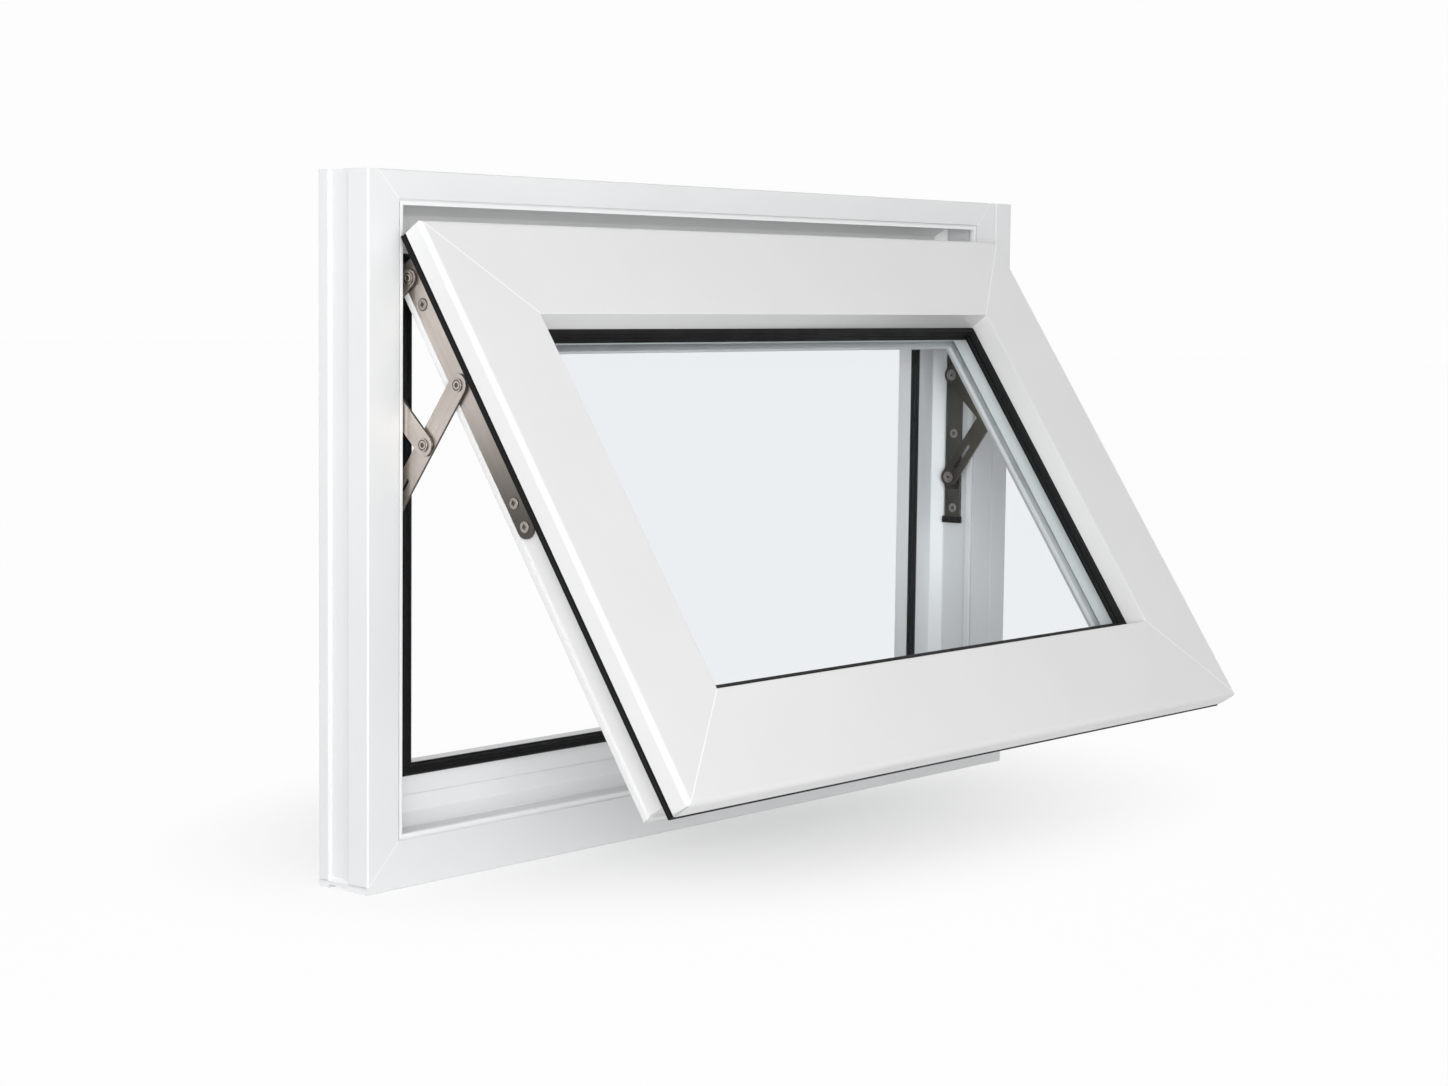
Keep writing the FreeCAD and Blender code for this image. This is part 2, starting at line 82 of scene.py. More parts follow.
class Signal:
    """A value in a node tree; Python expressions on it add Math nodes."""

    def __init__(self, shader: "Shader", socket: bpy.types.NodeSocket) -> None:
        """Wraps one output socket of a shader's tree."""
        self.shader = shader
        self.socket = socket

    def math(self, operation: str, *terms: "Signal | float") -> "Signal":
        """Adds one Math node.

        Args:
            operation: the node's operation.
            terms: values or signals, in the order of the node's sockets.

        Returns:
            The node's result.
        """
        node = self.shader.node("ShaderNodeMath", {"operation": operation}, dict(enumerate(terms)))
        return Signal(self.shader, node.outputs[0])

    def __add__(self, other: "Signal | float") -> "Signal":
        """Sum."""
        return self.math("ADD", self, other)

    def __radd__(self, other: float) -> "Signal":
        """Sum, with the number first."""
        return self.math("ADD", other, self)

    def __sub__(self, other: "Signal | float") -> "Signal":
        """Difference."""
        return self.math("SUBTRACT", self, other)

    def __rsub__(self, other: float) -> "Signal":
        """Difference, with the number first."""
        return self.math("SUBTRACT", other, self)

    def __mul__(self, other: "Signal | float") -> "Signal":
        """Product."""
        return self.math("MULTIPLY", self, other)

    def __rmul__(self, other: float) -> "Signal":
        """Product, with the number first."""
        return self.math("MULTIPLY", other, self)

    def either(self, other: "Signal | float") -> "Signal":
        """The greater of two values."""
        return self.math("MAXIMUM", self, other)

    def ramp(self, low: float, high: float, start: float = 0.0, end: float = 1.0) -> "Signal":
        """Smooth step.

        Args:
            low: value at which the step starts.
            high: value at which it ends.
            start: result at and below low.
            end: result at and above high.

        Returns:
            The stepped value.
        """
        values = {"Value": self, "From Min": low, "From Max": high, "To Min": start, "To Max": end}
        node = self.shader.node("ShaderNodeMapRange", {"interpolation_type": "SMOOTHSTEP"}, values)
        return Signal(self.shader, node.outputs[0])


class Shader:
    """Node tree of one material, or of the world."""

    def __init__(self, owner: "bpy.types.Material | bpy.types.World") -> None:
        """Empties the owner's tree.

        Args:
            owner: the material, or the world.
        """
        owner.use_nodes = True
        self.owner = owner
        self.tree = owner.node_tree
        self.tree.nodes.clear()

    def node(self, kind: str, settings: "dict | None" = None,
             inputs: "dict | None" = None) -> bpy.types.Node:
        """Adds any node.

        Args:
            kind: type of the node.
            settings: properties, set before the sockets.
            inputs: socket name or number to a value, signal or socket.

        Returns:
            The new node.
        """
        made = self.tree.nodes.new(kind)
        for name, value in (settings or {}).items():
            setattr(made, name, value)
        for name, value in (inputs or {}).items():
            socket = made.inputs[name]
            if isinstance(value, Signal):
                self.tree.links.new(value.socket, socket)
            elif isinstance(value, bpy.types.NodeSocket):
                self.tree.links.new(value, socket)
            else:
                socket.default_value = value
        return made

    def place(self, stretch: Corner = (1, 1, 1), turn: Corner = (0, 0, 0)) -> bpy.types.NodeSocket:
        """Object coordinates, turned and then stretched.

        Args:
            stretch: pattern size along each axis.
            turn: angles about the axes in radians.

        Returns:
            The vector socket.
        """
        source = self.node("ShaderNodeTexCoord").outputs["Object"]
        turned = self.node("ShaderNodeMapping", None, {"Vector": source, "Rotation": turn})
        scaled = self.node("ShaderNodeMapping", None, {"Vector": turned.outputs[0], "Scale": stretch})
        return scaled.outputs[0]

    def height(self) -> Signal:
        """Height above the origin in metres."""
        source = self.node("ShaderNodeTexCoord").outputs["Object"]
        return Signal(self, self.node("ShaderNodeSeparateXYZ", None, {0: source}).outputs[2])

    def noise(self, scale: float, detail: float = 2.0, stretch: Corner = (1, 1, 1),
              turn: Corner = (0, 0, 0), roughness: float = 0.5) -> Signal:
        """Noise on object coordinates.

        Args:
            scale: features per metre.
            detail: octaves.
            stretch: pattern size along each axis.
            turn: angles about the axes in radians.
            roughness: weight of the finer octaves.

        Returns:
            The noise value, about 0.5 in the middle.
        """
        values = {"Vector": self.place(stretch, turn), "Scale": scale, "Detail": detail,
                  "Roughness": roughness}
        return Signal(self, self.node("ShaderNodeTexNoise", None, values).outputs[0])

    def rays(self, *kinds: str) -> Signal:
        """1 for rays of any of these kinds, else 0.

        Args:
            kinds: outputs of the Light Path node.

        Returns:
            The signal.
        """
        path = self.node("ShaderNodeLightPath")
        found = Signal(self, path.outputs[kinds[0]])
        for kind in kinds[1:]:
            found = found.either(Signal(self, path.outputs[kind]))
        return found

    def mixed(self, share: Signal, *shaders: bpy.types.Node) -> bpy.types.NodeSocket:
        """Mixes two shaders.

        Args:
            share: weight of the second shader.
            shaders: the two shader nodes.

        Returns:
            The shader socket.
        """
        first, second = (shader.outputs[0] for shader in shaders)
        return self.node("ShaderNodeMixShader", None, {0: share, 1: first, 2: second}).outputs[0]

    def blend(self, share: "Signal | float",
              *ends: "Colour | bpy.types.NodeSocket") -> bpy.types.NodeSocket:
        """Mixes two colours.

        Args:
            share: weight of the second colour.
            ends: two linear colours, or sockets of colours.

        Returns:
            The colour socket.
        """
        first, second = (end if isinstance(end, bpy.types.NodeSocket) else (*end, 1) for end in ends)
        made = self.node("ShaderNodeMix", {"data_type": "RGBA"}, {0: share, 6: first, 7: second})
        return made.outputs[2]

    def bump(self, height: Signal, distance: float, strength: float = 1.0) -> bpy.types.NodeSocket:
        """Bump for the Normal socket.

        Args:
            height: relief, 0 to 1.
            distance: depth of the relief in metres.
            strength: weight of the relief.

        Returns:
            The normal socket.
        """
        values = {"Height": height, "Distance": distance, "Strength": strength}
        return self.node("ShaderNodeBump", None, values).outputs[0]

    def surface(self, values: dict) -> None:
        """Principled shader on the material's output.

        Args:
            values: socket name to a value or link.
        """
        self.output(self.node("ShaderNodeBsdfPrincipled", None, values).outputs[0])

    def output(self, surface: bpy.types.NodeSocket) -> None:
        """Links a shader to the output."""
        kind = "World" if isinstance(self.owner, bpy.types.World) else "Material"
        self.node("ShaderNodeOutput" + kind, None, {"Surface": surface})


# Finishes


@dataclass(frozen=True)
class Finish:
    """A finish of the window, made into a material once."""

    name: str
    colour: Colour
    roughness: float

    @functools.cache
    def material(self) -> bpy.types.Material:
        """The material of this finish, made at its first use."""
        made = bpy.data.materials.new(self.name)
        self.dress(Shader(made))
        return made

    def dress(self, shader: Shader) -> None:
        """Builds the nodes; each kind of finish gives its own."""
        raise NotImplementedError

    def tinted(self, share: float) -> Colour:
        """The colour at a share of its strength."""
        return tuple(part * share for part in self.colour)


@dataclass(frozen=True)
class Plastic(Finish):
    """Extruded white plastic: satin, with a fine grain and faint drawing lines."""

    relief: float = 0.00008
    coat: float = 0.12
    clouding: float = 0.025

    def dress(self, shader: Shader) -> None:
        """Cloudy colour, uneven gloss and a fine relief.

        Args:
            shader: empty tree of the material.
        """
        cloud = shader.noise(7.0, 3.0)
        fine = shader.noise(1500.0, 2.0)
        wide = shader.noise(26.0, 2.0)
        cloudy = self.tinted(1 - self.clouding)
        shader.surface({
            "Base Color": shader.blend(cloud.ramp(0.3, 0.7), cloudy, self.colour),
            "Roughness": wide.ramp(0.2, 0.8, self.roughness - 0.05, self.roughness + 0.05),
            "Normal": shader.bump(fine * 0.06 + wide, self.relief, 0.35),
            "Coat Weight": self.coat, "Coat Roughness": 0.22, "IOR": 1.53,
        })


@dataclass(frozen=True)
class Rubber(Finish):
    """Black gasket rubber with a dull skin and light dust."""

    def dress(self, shader: Shader) -> None:
        """Dark colour with dust in patches and a fine matt relief.

        Args:
            shader: empty tree of the material.
        """
        dust = shader.noise(38.0, 4.0, roughness=0.65)
        skin = shader.noise(2200.0, 2.0)
        pale = tuple(part * 1.3 + 0.001 for part in self.colour)
        shader.surface({
            "Base Color": shader.blend(dust.ramp(0.52, 0.78), self.colour, pale),
            "Roughness": dust.ramp(0.3, 0.7, self.roughness - 0.07, self.roughness + 0.08),
            "Normal": shader.bump(skin, 0.00005, 0.4),
            "Specular IOR Level": 0.14,
        })


@dataclass(frozen=True)
class Brushed(Finish):
    """Stainless steel brushed along the piece."""

    heading: float = 0.0
    # Heights between which painted shade darkens the steel towards the bottom, and its colour share at
    # the darkest
    fade: "tuple[float, float] | None" = None
    painted_shade_share: float = 0.16
    stained: float = 0.72
    streaks: float = 0.16
    stains: float = 0.35

    def dress(self, shader: Shader) -> None:
        """Fine streaks along the plate, with duller patches and scratches.

        Args:
            shader: empty tree of the material.
        """
        turn = (-math.radians(self.heading), 0.0, 0.0)
        brush = shader.noise(900.0, 3.0, (1.0, 1.0, 0.02), turn, 0.7)
        broad = shader.noise(140.0, 2.0, (1.0, 1.0, 0.06), turn)
        patch = shader.noise(22.0, 3.0)
        scratch = shader.noise(420.0, 1.0, (1.0, 0.12, 1.0), (0.5 + turn[0], 0, 0)).ramp(0.70, 0.74)
        dull = patch.ramp(0.35, 0.75) * self.stains + broad.ramp(0.35, 0.7) * 0.3
        colour = shader.blend(dull, self.colour, self.tinted(self.stained))
        # Painted shade: below the given heights the steel darkens towards the bottom
        if self.fade:
            colour = shader.blend(shader.height().ramp(*self.fade), self.tinted(self.painted_shade_share), colour)
        shader.surface({
            "Base Color": colour,
            "Metallic": 1.0,
            "Roughness": brush * self.streaks + patch * 0.08 + scratch * 0.1 + (self.roughness - 0.12),
            "Normal": shader.bump(brush + scratch * 0.5, 0.00003, 0.35),
            "Anisotropic": 0.45,
        })


@dataclass(frozen=True)
class Polished(Finish):
    """Turned steel of the rivets and screws."""

    def dress(self, shader: Shader) -> None:
        """Bright steel with fine speckles and darker grime.

        Args:
            shader: empty tree of the material.
        """
        speck = shader.noise(1600.0, 3.0)
        grime = shader.noise(260.0, 2.0)
        shader.surface({
            "Base Color": shader.blend(grime.ramp(0.5, 0.8), self.colour, self.tinted(0.6)),
            "Metallic": 1.0,
            "Roughness": speck.ramp(0.3, 0.7, self.roughness - 0.05, self.roughness + 0.06),
            "Normal": shader.bump(speck, 0.00002, 0.4),
        })


@dataclass(frozen=True)
class Pane(Finish):
    """Clear float glass, made to bend light less than real glass does, so that it mirrors little."""

    bending: float = 1.045
    clear: Colour = (0.975, 0.98, 0.98)

    def dress(self, shader: Shader) -> None:
        """Glass that casts only a faint shadow.

        Args:
            shader: empty tree of the material.
        """
        smear = shader.noise(5.0, 3.0)
        glass = shader.node("ShaderNodeBsdfPrincipled", None, {
            "Base Color": (*self.colour, 1), "Transmission Weight": 1.0, "IOR": self.bending,
            "Roughness": smear.ramp(0.55, 0.9, self.roughness, self.roughness + 0.01),
        })
        clear = shader.node("ShaderNodeBsdfTransparent", None, {"Color": (*self.clear, 1)})
        shader.output(shader.mixed(shader.rays("Is Shadow Ray", "Is Diffuse Ray"), glass, clear))


@dataclass(frozen=True)
class Spacer(Finish):
    """Pale warm edge spacer with drawn lines."""

    def dress(self, shader: Shader) -> None:
        """Pale matt plastic with drawn streaks along the edge.

        Args:
            shader: empty tree of the material.
        """
        streak = shader.noise(700.0, 2.0, (0.05, 1.0, 1.0))
        shader.surface({
            "Base Color": shader.blend(streak.ramp(0.3, 0.7), self.tinted(0.9), self.colour),
            "Roughness": streak.ramp(0.2, 0.8, self.roughness - 0.06, self.roughness + 0.06),
            "Normal": shader.bump(streak, 0.00003, 0.4),
        })


# The right arms, the tracks and the shoes stand in shade in the photo and have a darker steel for it
STEEL = (0.60, 0.545, 0.50)
SHADED_STEEL = (0.081, 0.075, 0.063)
FRAME_WHITE = Plastic("frame_white_plastic", (0.815, 0.822, 0.828), 0.36)
# Lighter copy of the frame's white on the faces inward of the front face: painted light in the rebates
LIT_INNER_WHITE = Plastic("frame_inner_white_plastic", (0.925, 0.93, 0.935), 0.34)
SASH_WHITE = Plastic("sash_white_plastic", (0.805, 0.805, 0.805), 0.34)
BEAD_WHITE = Plastic("bead_white_plastic", (0.79, 0.80, 0.81), 0.34)
# The weld seams are whiter than the members: a painted highlight on a real seam
SEAM_HIGHLIGHT_WHITE = Plastic("weld_seam_white", (0.96, 0.96, 0.96), 0.4, clouding=0.01)
GASKET = Rubber("gasket_rubber", (0.0035, 0.0035, 0.004), 0.50)
NYLON = Rubber("end_cap_nylon", (0.008, 0.007, 0.007), 0.42)
RIVET_STEEL = Polished("rivet_steel", (0.55, 0.50, 0.46), 0.26)
SCREW_STEEL = Polished("screw_steel", (0.38, 0.345, 0.315), 0.30)
# Dark steel painted into the grooves, recesses and sides of the rivet and screw heads as shade
PAINTED_SHADE_STEEL = Polished("painted_shade_steel", (0.13, 0.115, 0.10), 0.40)
# Darker steel on the plates' edge faces
DARK_EDGE_STEEL = Polished("dark_edge_steel", (0.15, 0.13, 0.115), 0.42)
TRACK_STEEL = Brushed("dark_track_steel", (0.105, 0.102, 0.090), 0.34)
SHOE_STEEL = Brushed("dark_shoe_steel", (0.060, 0.055, 0.050), 0.36)
GLASS = Pane("clear_glass", (0.925, 0.938, 0.946), 0.0)
SPACER = Spacer("pale_spacer", (0.74, 0.78, 0.78), 0.5)


# Modelling


class Bench:
    """One mesh that is modelled by hand, in metres, at its own place."""

    def __init__(self, name: str) -> None:
        """Starts a piece without a mesh."""
        self.name = name
        self.item: "bpy.types.Object | None" = None

    def take(self, item: bpy.types.Object) -> "Bench":
        """Works on an object that exists.

        Args:
            item: the object, which takes the bench's name.

        Returns:
            This bench.
        """
        self.item = item
        item.name = self.name
        item.data.name = self.name
        return self

    def activate(self) -> None:
        """Makes this piece the only selected object."""
        bpy.ops.object.select_all(action="DESELECT")
        self.item.select_set(True)
        bpy.context.view_layer.objects.active = self.item

    @contextmanager
    def editing(self) -> Iterator[None]:
        """Edit mode with nothing selected."""
        self.activate()
        bpy.ops.object.mode_set(mode="EDIT")
        bpy.ops.mesh.select_mode(type="VERT")
        bpy.ops.mesh.select_all(action="DESELECT")
        yield
        bpy.ops.object.mode_set(mode="OBJECT")

    def primitive(self, kind: str, **settings: object) -> "Bench":
        """Adds a primitive at its size and place.

        Args:
            kind: cube, cylinder or plane.
            settings: the operator's own settings.

        Returns:
            This bench.
        """
        bpy.ops.object.select_all(action="DESELECT")
        getattr(bpy.ops.mesh, "primitive_" + kind + "_add")(**settings)
        self.take(bpy.context.object)
        bpy.ops.object.transform_apply(location=True, rotation=True, scale=True)
        return self

    def block(self, low: Sequence[float], high: Sequence[float]) -> "Bench":
        """Box between two corners, as a start for other shapes.

        Args:
            low: lower corner in millimetres.
            high: upper corner in millimetres.

        Returns:
            This bench.
        """
        spans = [(b - a) * MM for a, b in zip(low, high)]
        middle = [(a + b) / 2 * MM for a, b in zip(low, high)]
        return self.primitive("cube", size=1, location=middle, scale=spans)

    def barrel(self, radius: float, start: float, end: float, sides: int = 40) -> "Bench":
        """Cylinder along X from start to end, in millimetres."""
        return self.primitive(
            "cylinder", vertices=sides, radius=radius * MM, depth=(end - start) * MM,
            location=((start + end) / 2 * MM, 0, 0), rotation=(0, math.pi / 2, 0))

    def outline(self, corners: Sequence[Corner]) -> "Bench":
        """Draws a closed outline by extruding one point, fills it and rounds its corners.

        Args:
            corners: depth, height and rounding of each corner, in millimetres.

        Returns:
            This bench.
        """
        points = [Vector((0, depth, height)) * MM for depth, height, _ in corners]
        self.primitive("plane", size=MM)
        with self.editing():
            bpy.ops.mesh.select_all(action="SELECT")
            bpy.ops.mesh.merge(type="CENTER")
            bpy.ops.transform.translate(value=points[0])
            for start, end in zip(points, points[1:]):
                bpy.ops.mesh.extrude_region_move(TRANSFORM_OT_translate={"value": end - start})
            bpy.ops.mesh.select_all(action="SELECT")
            bpy.ops.mesh.edge_face_add()
            for radius in sorted({corner[2] for corner in corners if corner[2]}):
                spots = [spot for spot, corner in zip(points, corners) if corner[2] == radius]
                self.pick(Pick.VERT, lambda place, _: any((place - spot).length < SAME for spot in spots))
                bpy.ops.mesh.bevel(offset=radius * MM, affect="VERTICES", clamp_overlap=True,
                                   segments=self.segments(radius))
        return self

    @staticmethod
    def segments(radius: float) -> int:
        """Segments of a rounded corner, by its radius in millimetres."""
        if radius < 1:
            return 2
        return 4 if radius < 2.6 else 8

    def pick(self, kind: Pick, test: Test) -> None:
        """Selects in edit mode by place and direction, and nothing else stays selected.

        Args:
            kind: faces, edges or vertices.
            test: takes the middle and the normal, or an edge's direction.
        """
        bpy.ops.mesh.select_mode(type=kind.value)
        bpy.ops.mesh.select_all(action="DESELECT")
        mesh = bmesh.from_edit_mesh(self.item.data)
        if kind is Pick.FACE:
            found = [f for f in mesh.faces if test(f.calc_center_median(), f.normal)]
        elif kind is Pick.EDGE:
            found = []
            for edge in mesh.edges:
                first, second = (v.co for v in edge.verts)
                if test((first + second) / 2, (second - first).normalized()):
                    found.append(edge)
        else:
            found = [v for v in mesh.verts if test(v.co, v.normal)]
        for part in found:
            part.select_set(True)
        mesh.select_flush_mode()
        bmesh.update_edit_mesh(self.item.data)

    def extrude(self, step: Sequence[float]) -> "Bench":
        """Extrudes the whole drawn face and closes the shell.

        Args:
            step: length along each axis in millimetres.

        Returns:
            This bench.
        """
        with self.editing():
            bpy.ops.mesh.select_all(action="SELECT")
            value = tuple(part * MM for part in step)
            bpy.ops.mesh.extrude_region_move(TRANSFORM_OT_translate={"value": value})
            bpy.ops.mesh.select_all(action="SELECT")
            bpy.ops.mesh.normals_make_consistent(inside=False)
        return self

    def cut(self, spot: Sequence[float], normal: Sequence[float]) -> "Bench":
        """Cuts off what lies beyond a plane and fills the cut.

        Args:
            spot: a point of the plane in millimetres.
            normal: direction of the side that goes.

        Returns:
            This bench.
        """
        with self.editing():
            bpy.ops.mesh.select_all(action="SELECT")
            bpy.ops.mesh.bisect(plane_co=[part * MM for part in spot], plane_no=normal,
                                use_fill=True, clear_outer=True, threshold=1e-7)
        return self

    def bevel(self, width: float, segments: int, test: Test) -> "Bench":
        """Bevels some edges.

        Args:
            width: width of the bevel in millimetres.
            segments: number of its segments.
            test: takes the middle and the direction of an edge.

        Returns:
            This bench.
        """
        with self.editing():
            self.pick(Pick.EDGE, test)
            bpy.ops.mesh.bevel(offset=width * MM, segments=segments, affect="EDGES", clamp_overlap=True)
            bpy.ops.mesh.select_mode(type="VERT")
            bpy.ops.mesh.select_all(action="SELECT")
            bpy.ops.mesh.remove_doubles(threshold=SAME)
        return self

    def modifier(self, kind: str, **settings: object) -> "Bench":
        """Adds a modifier and applies it.

        Args:
            kind: type of the modifier.
            settings: its own settings.

        Returns:
            This bench.
        """
        self.activate()
        added = self.item.modifiers.new(kind.lower(), kind)
        for name, value in settings.items():
            setattr(added, name, value)
        bpy.ops.object.modifier_apply(modifier=added.name)
        return self

    def soften(self, width: float, segments: int = 2, limit: float = 40.0) -> "Bench":
        """Breaks every sharp edge, width in millimetres."""
        return self.modifier("BEVEL", width=width * MM, segments=segments,
                             limit_method="ANGLE", angle_limit=math.radians(limit))

    def carve(self, cutter: "Bench") -> "Bench":
        """Takes another piece's shape out of this one.

        Args:
            cutter: the other piece, which is removed.

        Returns:
            This bench.
        """
        self.modifier("BOOLEAN", operation="DIFFERENCE", solver="EXACT", object=cutter.item)
        bpy.data.objects.remove(cutter.item)
        return self

    def sunk(self, rim: float, depth: float) -> None:
        """In edit mode, insets the selected face and moves it in (or out, for less than 0)."""
        bpy.ops.mesh.inset(thickness=rim * MM)
        bpy.ops.mesh.extrude_region_move(TRANSFORM_OT_translate={"value": (-depth * MM, 0, 0)})

    def put(self, matrix: Matrix) -> "Bench":
        """Moves the mesh to its place; a mirrored mesh is turned right side out.

        Args:
            matrix: the move, turn or mirroring, in metres.

        Returns:
            This bench.
        """
        self.item.data.transform(matrix)
        if matrix.determinant() < 0:
            with self.editing():
                bpy.ops.mesh.select_all(action="SELECT")
                bpy.ops.mesh.flip_normals()
        return self

    def join(self, others: "Sequence[Bench]") -> "Bench":
        """Joins other pieces into this one, which keeps its name.

        Args:
            others: the pieces that go into it.

        Returns:
            This bench.
        """
        self.activate()
        for other in others:
            other.item.select_set(True)
        bpy.ops.object.join()
        return self

    def dress(self, finish: Finish) -> "Bench":
        """Gives the piece its finish.

        Args:
            finish: the finish, in place of any that it has.

        Returns:
            This bench.
        """
        self.item.data.materials.clear()
        self.item.data.materials.append(finish.material())
        return self

    def tint(self, finish: Finish, test: Test) -> "Bench":
        """Gives some faces another finish.

        Args:
            finish: the finish.
            test: takes the middle and the normal of a face.

        Returns:
            This bench.
        """
        self.item.data.materials.append(finish.material())
        last = len(self.item.data.materials) - 1
        for face in self.item.data.polygons:
            if test(face.center, face.normal):
                face.material_index = last
        return self

    def shade(self) -> "Bench":
        """Smooth shading that keeps the flat faces flat."""
        self.activate()
        bpy.ops.object.shade_smooth_by_angle(angle=math.radians(50))
        return self.modifier("WEIGHTED_NORMAL", keep_sharp=True, weight=80)

    def deliver(self, slot: str, nodes: Sequence[str] = ()) -> None:
        """Shades the piece and gives it to the frame.

        Args:
            slot: the record's material slot; not used.
            nodes: CAD nodes that it stands for.
        """
        self.shade()
        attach(self.item, BODY)
        if nodes:
            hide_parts(*nodes)
        count = len(self.item.data.polygons)
        log.info("%s: %d faces, for %s", self.name, count, ", ".join(nodes) or "no node")


# Sizes


def shifted(x: float, y: float, z: float) -> Matrix:
    """Move in millimetres."""
    return Matrix.Translation(Vector((x, y, z)) * MM)


def turned(degrees: float, axis: str) -> Matrix:
    """Turn about an axis through the origin."""
    return Matrix.Rotation(math.radians(degrees), 4, axis)


@dataclass(frozen=True)
class Faces:
    """Width of the front face on each side of a ring, in millimetres."""

    bottom: float = 0.0
    top: float = 0.0
    side: float = 0.0


@dataclass
class Window:
    """Main sizes in millimetres, the same as the part's own."""

    width: float = 905.0
    height: float = 600.0
    front: float = -12.0
    faces: Faces = Faces(41.0, 24.0, 35.0)
    margin: float = -1.5
    floor_rise: float = 1.5
    body_inset: float = 16.0
    angle: float = 33.5
    forward: float = 24.0
    drop: float = 40.0

    @property
    def sash_width(self) -> float:
        """Outer width of the sash."""
        return self.width - 2 * (self.faces.side + self.margin)

    @property
    def sash_height(self) -> float:
        """Outer height of the sash."""
        return self.height - self.faces.bottom - self.faces.top - 2 * self.margin

    @property
    def frame_place(self) -> Matrix:
        """Top front edge of the frame."""
        return shifted(0, self.front, self.height)

    @property
    def sash_place(self) -> Matrix:
        """Top front edge of the open sash."""
        return shifted(0, self.front - self.forward, self.height - self.drop) @ turned(-self.angle, "X")


# Rings


INNER_START = 1.6
MEMBER_TIP_CUTS = (11.25, 33.75)
SEAM_TIP_CUTS = (11.25, 33.75, 56.25, 78.75)


@dataclass
class MitredRing:
    """Four members with mitred corners, measured from the top of the ring."""

    names: Sequence[str]
    nodes: Sequence[str]
    section: Section
    across: float
    upright: float
    place: Matrix
    finish: Finish
    slot: str
    faces: Faces = Faces()
    tip: float = 0.0
    inner: "Finish | None" = None

    def round_tip(self, bench: Bench, centre: float, sign: int, angles: Sequence[float]) -> None:
        """Rounds an outer corner by a row of cuts, if the ring has rounded tips.

        Args:
            bench: the piece.
            centre: place along X of the middle of the rounding, in millimetres.
            sign: 1 for a corner towards +X, -1 for one towards -X.
            angles: lean of each cut in degrees.
        """
        for angle in angles if self.tip else ():
            lean = math.radians(angle)
            normal = Vector((sign * math.sin(lean), 0, -math.cos(lean)))
            bench.cut(Vector((centre, 0, self.tip)) + normal * self.tip, normal)

    def member(self, name: str, length: float, own: float, before: float, after: float) -> Bench:
        """One member lying along X, with both mitres cut from the inner corner.

        Args:
            name: name of the piece.
            length: outer length of the member.
            own: width of its front face.
            before: face width of the member at the -X end.
            after: face width of the member at the +X end.

        Returns:
            The member.
        """
        bench = Bench(name).outline(self.section(own)).put(shifted(-length / 2, 0, 0))
        bench.extrude((length, 0, 0))
        for sign, other in ((-1, before), (1, after)):
            bench.cut((sign * (length / 2 - other + own), 0, 0), (sign, 0, 1))
        for sign in (-1, 1):
            self.round_tip(bench, sign * (length / 2 - self.tip), sign, MEMBER_TIP_CUTS)
        bench.dress(self.finish)
        # Painted light: what lies inward of the front face gets a lighter finish
        if self.inner:
            bench.tint(self.inner, lambda spot, _: spot.z > (own + INNER_START) * MM)
        return bench

    def build(self) -> None:
        """Builds the bottom, top, left and right members."""
        bottom, top, side = self.faces.bottom, self.faces.top, self.faces.side
        half, middle = self.across / 2, -self.upright / 2
        members = (
            (self.across, bottom, side, side, shifted(0, 0, -self.upright)),
            (self.across, top, side, side, turned(180, "Y")),
            (self.upright, side, top, bottom, shifted(-half, 0, middle) @ turned(90, "Y")),
            (self.upright, side, bottom, top, shifted(half, 0, middle) @ turned(-90, "Y")),
        )
        for number, (length, own, before, after, spot) in enumerate(members):
            bench = self.member(self.names[number], length, own, before, after).put(self.place @ spot)
            nodes = [self.nodes[number]] if len(self.nodes) == 4 else self.nodes
            bench.deliver(self.slot, nodes)


@dataclass
class WeldSeams:
    """Cleaned weld seams over the four mitres of a ring, whiter than the members as a painted highlight.
    """

    prefix: str
    ring: MitredRing
    width: float
    proud: float

    def seam(self, name: str, face: float) -> Bench:
        """Seam of a bottom right corner, clipped to the outer planes of the ring.

        Args:
            name: name of the piece.
            face: width of the front face that it crosses.

        Returns:
            The seam.
        """
        lean = Matrix(((1, 0, -1, 0), (0, 1, 0, 0), (0, 0, 1, 0), (0, 0, 0, 1)))
        seam = Bench(name).outline(self.ring.section(face)).put(shifted(-self.width / 2, 0, 0) @ lean)
        seam.extrude((self.width, 0, 0))
        back = max(corner[0] for corner in self.ring.section(face))
        with seam.editing():
            bpy.ops.mesh.select_all(action="SELECT")
            bpy.ops.transform.shrink_fatten(value=self.proud * MM, use_even_offset=True)
        seam.cut((0, 0, 0), (1, 0, 0)).cut((0, 0, 0), (0, 0, -1)).cut((0, back, 0), (0, 1, 0))
        self.ring.round_tip(seam, -self.ring.tip, 1, SEAM_TIP_CUTS)
        return seam.dress(SEAM_HIGHLIGHT_WHITE)

    def build(self) -> None:
        """Builds the seam of each corner from the narrower of its two members."""
        half, low, faces = self.ring.across / 2, -self.ring.upright, self.ring.faces
        for label, level, inward, face in (("bottom", low, 1, faces.bottom), ("top", 0, -1, faces.top)):
            narrow = min(face, faces.side)
            for side, sign in (("left", -1), ("right", 1)):
                bench = self.seam(f"{self.prefix}_seam_{label}_{side}", narrow)
                spot = shifted(sign * (half - faces.side + narrow), 0, level + inward * (face - narrow))
                bench.put(self.ring.place @ spot @ Matrix.Diagonal((sign, 1, inward, 1)))
                bench.deliver(self.ring.slot)


